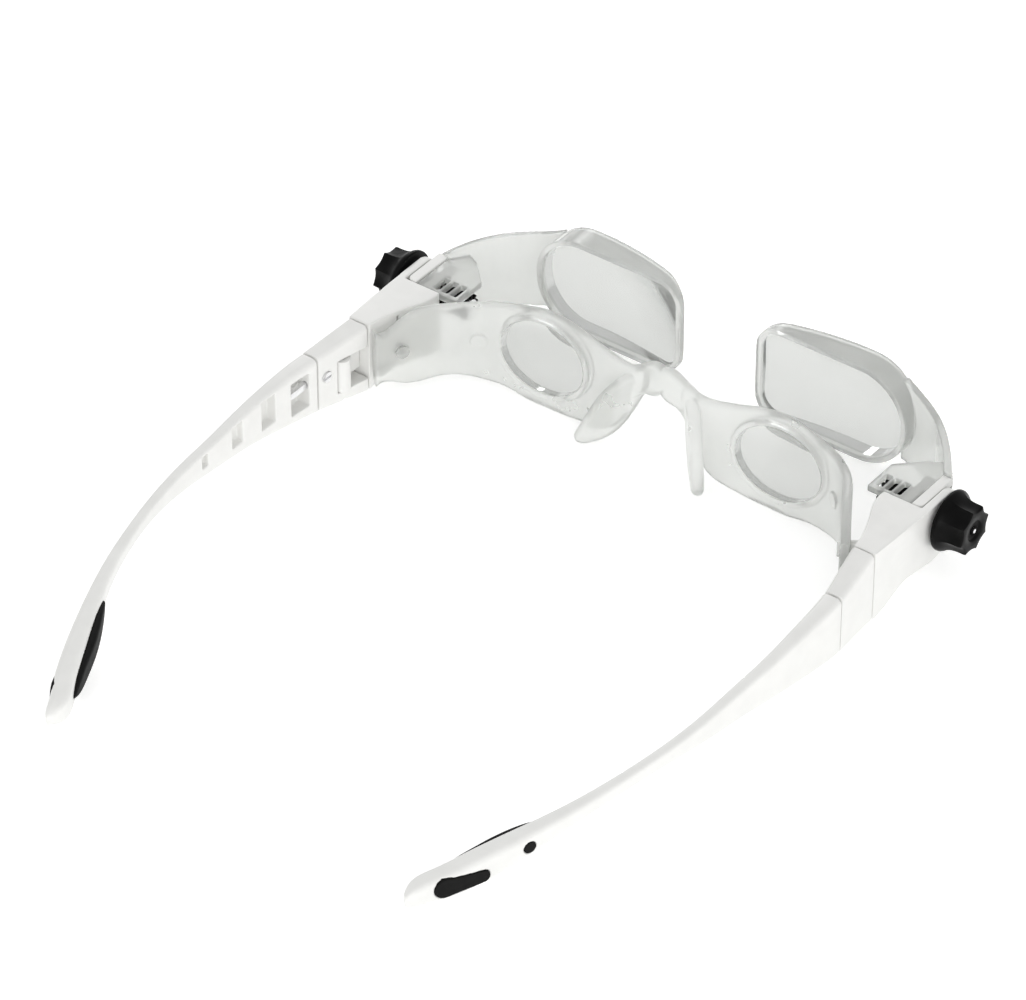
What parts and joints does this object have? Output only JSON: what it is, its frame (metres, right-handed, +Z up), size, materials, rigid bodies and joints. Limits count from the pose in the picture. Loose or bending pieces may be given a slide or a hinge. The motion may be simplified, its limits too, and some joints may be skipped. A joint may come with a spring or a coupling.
{
  "type": "magnifying spectacles",
  "caption": "Clear binocular magnifying spectacles with white folding temples, black ear pads and side knobs that rack the front lenses in and out.",
  "frame": {"origin": "bottom centre of the overall box, on the plane that the spectacles rest on", "axes": "+Z up as worn, lenses face -Y, temple tips point to +Y, +X is the wearer's left"},
  "size_m": [0.1618, 0.1858, 0.0284],
  "materials": {
    "white_gloss": "moulded white plastic, glossy",
    "clear_plastic": "clear acrylic, polished",
    "frosted_clear": "clear flexible plastic, faintly milky",
    "black_gloss": "moulded black plastic, satin",
    "black_soft": "soft black rubber",
    "steel": "bright steel"
  },
  "bodies": {
    "front_frame": {"eyepiece_frame": "frosted_clear", "left_focus_housing": "white_gloss", "left_housing_cover": "white_gloss", "left_cover_screw": "steel", "left_leaf_screw": "steel", "left_hinge_leaf": "white_gloss", "left_knob_washer": "steel", "left_ocular_lens": "clear_plastic", "left_frame_pin": "clear_plastic", "right_focus_housing": "white_gloss", "right_housing_cover": "white_gloss", "right_cover_screw": "steel", "right_leaf_screw": "steel", "right_hinge_leaf": "white_gloss", "right_knob_washer": "steel", "right_ocular_lens": "clear_plastic", "right_frame_pin": "clear_plastic"},
    "left_temple": {"left_hinge_link": "white_gloss", "left_temple_arm": "white_gloss", "left_ear_pad": "black_soft", "left_temple_tongue": "steel", "left_link_screw": "steel", "left_fold_pin": "steel"},
    "left_objective": {"left_objective_carrier": "clear_plastic", "left_objective_lens": "clear_plastic", "left_focus_rack": "white_gloss", "left_slide_block": "white_gloss"},
    "left_focus_drive": {"left_focus_knob": "black_gloss", "left_knob_shaft": "steel", "left_focus_pinion": "black_gloss", "left_shaft_clip": "steel"},
    "right_temple": {"right_hinge_link": "white_gloss", "right_temple_arm": "white_gloss", "right_ear_pad": "black_soft", "right_temple_tongue": "steel", "right_link_screw": "steel", "right_fold_pin": "steel"},
    "right_objective": {"right_objective_carrier": "clear_plastic", "right_objective_lens": "clear_plastic", "right_focus_rack": "white_gloss", "right_slide_block": "white_gloss"},
    "right_focus_drive": {"right_focus_knob": "black_gloss", "right_knob_shaft": "steel", "right_focus_pinion": "black_gloss", "right_shaft_clip": "steel"}
  },
  "joints": [
    {"name": "left_temple_fold", "type": "hinge", "parent": "front_frame", "child": "left_temple", "pos_m": [0.0685, -0.0353, 0.0087], "axis": [0, 0, 1], "range_deg": [0, 82]},
    {"name": "left_focus_turn", "type": "hinge", "parent": "front_frame", "child": "left_focus_drive", "pos_m": [0.066, -0.0681, 0.013], "axis": [1, 0, 0], "range_deg": [0, 114.6]},
    {"name": "left_objective_slide", "type": "slide", "parent": "front_frame", "child": "left_objective", "axis": [0, -1, 0], "range_m": [0, 0.005]},
    {"name": "right_temple_fold", "type": "hinge", "parent": "front_frame", "child": "right_temple", "pos_m": [-0.0685, -0.0353, 0.0087], "axis": [0, 0, -1], "range_deg": [0, 76]},
    {"name": "right_focus_turn", "type": "hinge", "parent": "front_frame", "child": "right_focus_drive", "pos_m": [-0.066, -0.0681, 0.013], "axis": [1, 0, 0], "range_deg": [0, 114.6]},
    {"name": "right_objective_slide", "type": "slide", "parent": "front_frame", "child": "right_objective", "axis": [0, -1, 0], "range_m": [0, 0.005]}
  ],
  "couplings": [
    {"joint": "left_focus_turn", "follows": "left_objective_slide", "rad_per_m": 400},
    {"joint": "right_focus_turn", "follows": "right_objective_slide", "rad_per_m": 400}
  ]
}
